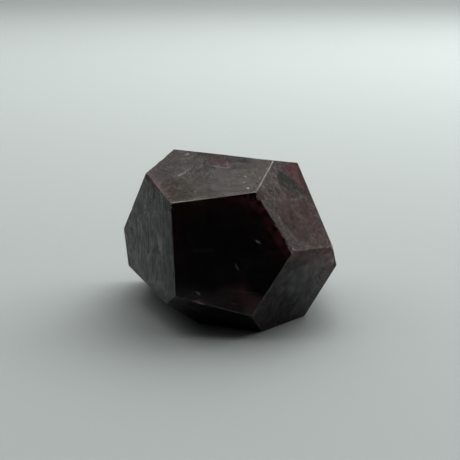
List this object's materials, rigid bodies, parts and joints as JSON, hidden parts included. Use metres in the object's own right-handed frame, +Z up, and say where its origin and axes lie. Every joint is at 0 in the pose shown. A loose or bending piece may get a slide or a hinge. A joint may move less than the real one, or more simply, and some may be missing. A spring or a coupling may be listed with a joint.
{
  "type": "garnet crystal",
  "caption": "Hand-polished garnet crystal: a flat-faced, nearly regular dodecahedral stone with crisp eased edges and small edge chips, standing on its flat base face.",
  "frame": {"origin": "on the ground under the middle of the stone's plan, at the level of its flat base face", "axes": "+Z up out of the base face, +X to the stone's right and along its longest side, +Y away from the viewer, so the large front facet looks towards -Y"},
  "size_m": [0.04, 0.0382, 0.0296],
  "materials": {
    "polished_garnet": "hand-polished, glossy, almost opaque deep red garnet"
  },
  "bodies": {
    "root": {"garnet_crystal": "polished_garnet"}
  },
  "joints": []
}
